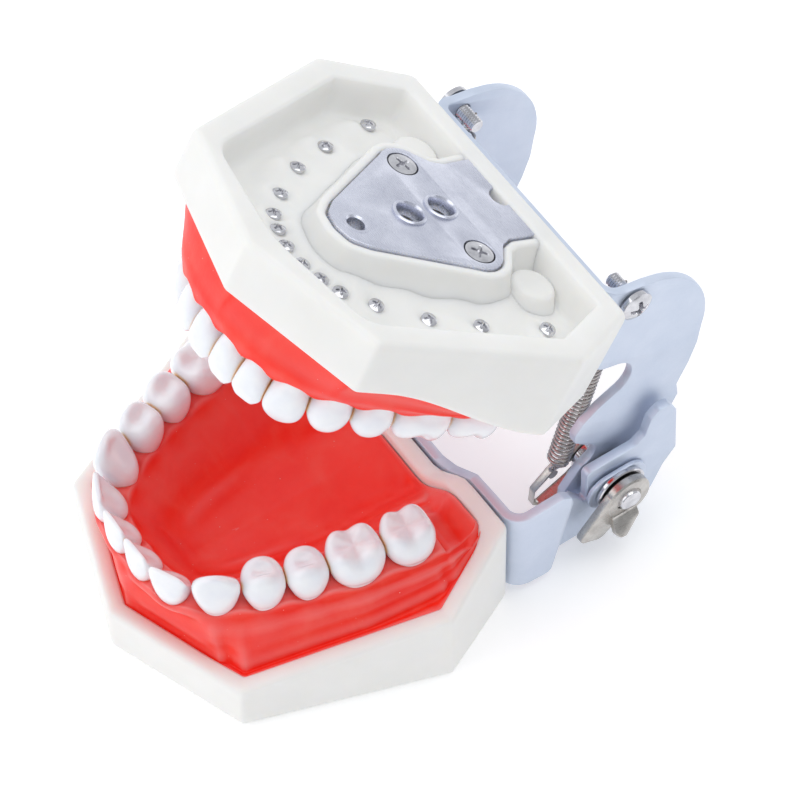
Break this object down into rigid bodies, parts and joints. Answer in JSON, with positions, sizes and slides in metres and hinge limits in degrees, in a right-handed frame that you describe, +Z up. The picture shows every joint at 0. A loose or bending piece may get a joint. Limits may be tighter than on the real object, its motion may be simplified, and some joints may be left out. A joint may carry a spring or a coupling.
{
  "type": "typodont",
  "caption": "Dental practice model: two jaws with ivory bases, red gums and removable white teeth on a sprung metal hinge with wing nuts.",
  "frame": {"origin": "on the table plane, under the middle of the object's length and width as modelled, with the jaws open", "axes": "+X towards the model's own left, -Y towards the front teeth, +Z up from the surface the lower jaw stands on"},
  "size_m": [0.076, 0.105, 0.092],
  "materials": {
    "ivory_plastic": "smooth satin moulded plastic",
    "red_gum": "soft glossy silicone",
    "tooth_resin": "glossy white resin",
    "zinc_steel": "bright zinc plated sheet, satin",
    "bright_steel": "nickel plated",
    "stainless": "stamped stainless, satin"
  },
  "bodies": {
    "lower_jaw": {"lower_base": "ivory_plastic", "lower_gum": "red_gum", "lower_frame": "zinc_steel", "lower_right_central_incisor": "tooth_resin", "lower_left_central_incisor": "tooth_resin", "lower_right_lateral_incisor": "tooth_resin", "lower_left_lateral_incisor": "tooth_resin", "lower_right_canine": "tooth_resin", "lower_left_canine": "tooth_resin", "lower_right_first_premolar": "tooth_resin", "lower_left_first_premolar": "tooth_resin", "lower_right_second_premolar": "tooth_resin", "lower_left_second_premolar": "tooth_resin", "lower_right_first_molar": "tooth_resin", "lower_left_first_molar": "tooth_resin", "lower_right_second_molar": "tooth_resin", "lower_left_second_molar": "tooth_resin", "lower_plate_screw_right": "bright_steel", "lower_plate_screw_left": "bright_steel"},
    "hinge_carriage": {"hinge_stud_right": "bright_steel", "hinge_stud_left": "bright_steel", "hinge_bush_right": "stainless", "hinge_bush_left": "stainless", "slot_guide_right": "stainless", "slot_guide_left": "stainless", "lock_washer_right": "stainless", "lock_washer_left": "stainless", "spring_bracket_right": "stainless", "spring_bracket_left": "stainless", "tension_spring_right": "bright_steel", "tension_spring_left": "bright_steel"},
    "upper_jaw": {"upper_base": "ivory_plastic", "upper_gum": "red_gum", "upper_frame": "zinc_steel", "upper_right_central_incisor": "tooth_resin", "upper_left_central_incisor": "tooth_resin", "upper_right_lateral_incisor": "tooth_resin", "upper_left_lateral_incisor": "tooth_resin", "upper_right_canine": "tooth_resin", "upper_left_canine": "tooth_resin", "upper_right_first_premolar": "tooth_resin", "upper_left_first_premolar": "tooth_resin", "upper_right_second_premolar": "tooth_resin", "upper_left_second_premolar": "tooth_resin", "upper_right_first_molar": "tooth_resin", "upper_left_first_molar": "tooth_resin", "upper_right_second_molar": "tooth_resin", "upper_left_second_molar": "tooth_resin", "upper_plate_screw_right": "bright_steel", "upper_plate_screw_left": "bright_steel", "spring_screw_right": "bright_steel", "spring_screw_left": "bright_steel"},
    "wing_nut_right": {"wing_nut_right": "stainless"},
    "wing_nut_left": {"wing_nut_left": "stainless"}
  },
  "joints": [
    {"name": "bite_slide", "type": "slide", "parent": "lower_jaw", "child": "hinge_carriage", "axis": [0, -1, 0], "range_m": [-0.0028, 0.0028]},
    {"name": "jaw_hinge", "type": "hinge", "parent": "hinge_carriage", "child": "upper_jaw", "pos_m": [0, 0.0319, 0.0124], "axis": [-1, 0, 0], "range_deg": [-24, 32], "deforming": ["tension_spring_right", "tension_spring_left"]},
    {"name": "wing_nut_turn_right", "type": "hinge", "parent": "hinge_carriage", "child": "wing_nut_right", "pos_m": [-0.0331, 0.0319, 0.0124], "axis": [-1, 0, 0], "continuous": true},
    {"name": "wing_nut_turn_left", "type": "hinge", "parent": "hinge_carriage", "child": "wing_nut_left", "pos_m": [0.0331, 0.0319, 0.0124], "axis": [1, 0, 0], "continuous": true}
  ]
}
